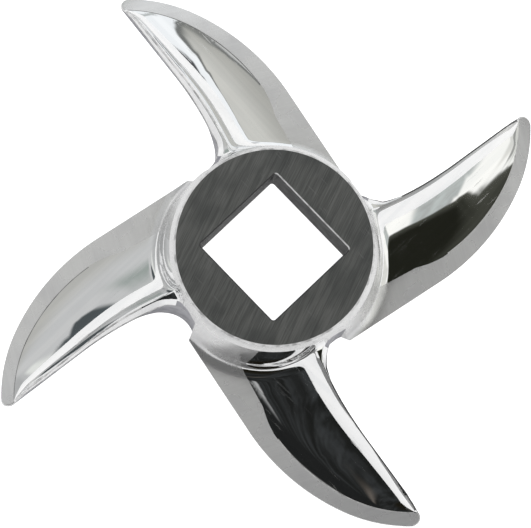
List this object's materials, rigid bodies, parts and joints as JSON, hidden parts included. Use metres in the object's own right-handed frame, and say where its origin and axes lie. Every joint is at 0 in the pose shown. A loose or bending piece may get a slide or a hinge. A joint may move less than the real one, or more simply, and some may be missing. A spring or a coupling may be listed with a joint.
{
  "type": "meat grinder knife",
  "caption": "Cross-shaped cutting knife for a meat grinder, with a square drive hole and sickle blades whose flat side runs on the hole plate.",
  "frame": {"origin": "on the hub axis, in the cutting plane", "axes": "+Z along the hub axis from the cutting plane to the ground hub face; +X and +Y square to the sides of the drive hole, with one blade pointing along +X"},
  "size_m": [0.095, 0.095, 0.0135],
  "materials": {
    "steel": "polished scoops, satin ground lands and hub face"
  },
  "bodies": {
    "root": {"knife": "steel"}
  },
  "joints": []
}
